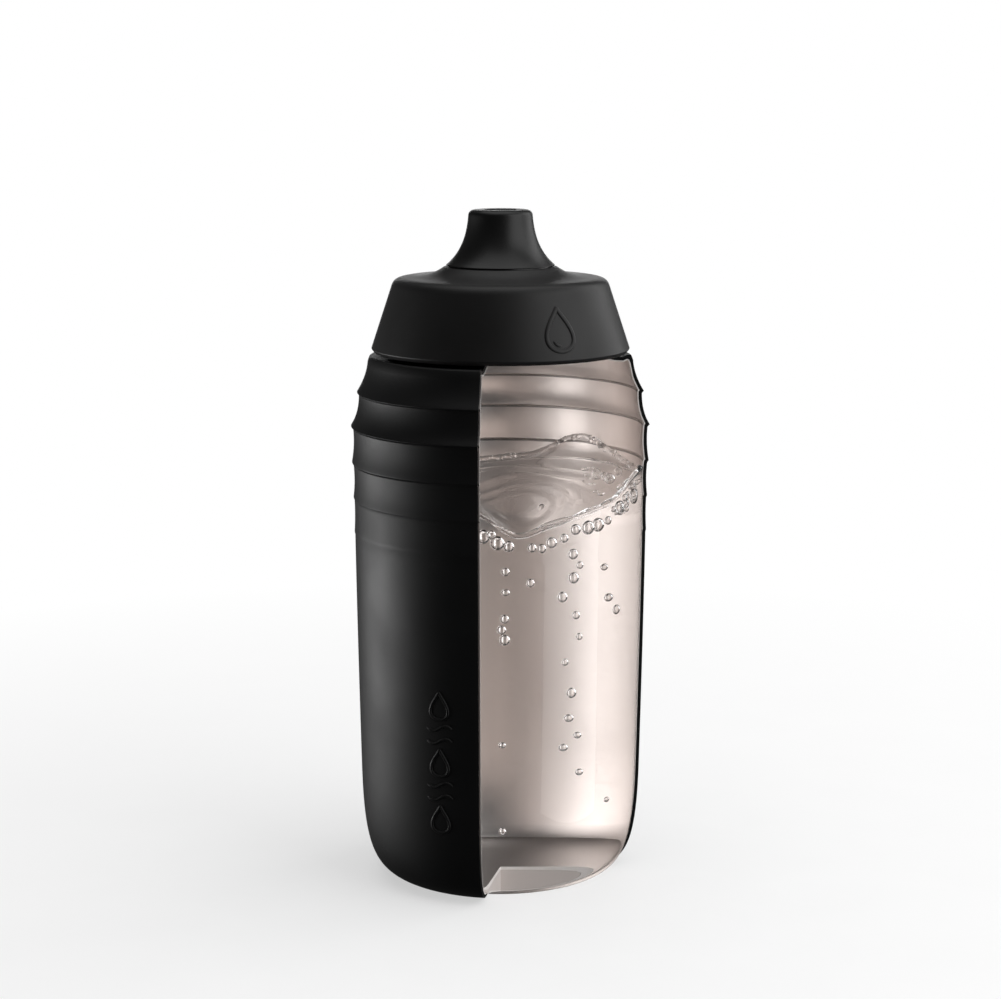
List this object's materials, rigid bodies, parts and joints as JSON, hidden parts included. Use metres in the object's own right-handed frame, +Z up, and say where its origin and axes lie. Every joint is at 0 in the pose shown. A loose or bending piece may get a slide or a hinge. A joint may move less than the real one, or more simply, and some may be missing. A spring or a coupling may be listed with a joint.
{
  "type": "sports squeeze bottle",
  "caption": "Sports squeeze bottle with a ringed elastic body, metal lining, screw cap and push-pull nozzle, with a sector cut away to show the inside.",
  "frame": {"origin": "centre of the flat base, on the bottle's axis", "axes": "+Z up along the bottle's axis, -Y to the front, +X to the right; the cut-away faces front and right"},
  "size_m": [0.0742, 0.0737, 0.1673],
  "materials": {
    "soft_body": "fine matte, soft to the touch",
    "titanium": "satin, warm grey",
    "soft_touch": "soft-touch matt coating",
    "hard_plastic": "moulded satin",
    "silicone": "matte",
    "pale_rubber": "smooth, pale, slightly glossy",
    "mouthpiece": "fine matte, soft to the touch"
  },
  "bodies": {
    "bottle": {"bottle_shell": "soft_body", "titanium_liner": "titanium", "liner_floor": "titanium", "floor_pad": "pale_rubber"},
    "cap_seal": {"cap_gasket": "silicone"},
    "cap": {"cap_cover": "soft_touch", "cap_core": "hard_plastic", "valve_stem": "hard_plastic", "stem_seal": "silicone"},
    "nozzle_seal": {"nozzle_o_ring": "silicone"},
    "nozzle": {"nozzle_core": "hard_plastic", "nozzle_grip": "mouthpiece"}
  },
  "joints": [
    {"name": "cap_lift", "type": "slide", "parent": "bottle", "child": "cap_seal", "axis": [0, 0, 1], "range_m": [0, 0.0181]},
    {"name": "cap_turn", "type": "hinge", "parent": "cap_seal", "child": "cap", "pos_m": [0, 0, 0.148], "axis": [0, 0, 1], "range_deg": [0, 810]},
    {"name": "nozzle_pull", "type": "slide", "parent": "cap", "child": "nozzle_seal", "axis": [0, 0, 1], "range_m": [0, 0.005]},
    {"name": "nozzle_spin", "type": "hinge", "parent": "nozzle_seal", "child": "nozzle", "pos_m": [0, 0, 0.155], "axis": [0, 0, 1], "continuous": true}
  ],
  "couplings": [
    {"joint": "cap_lift", "follows": "cap_turn", "m_per_rad": 0.0012732}
  ]
}
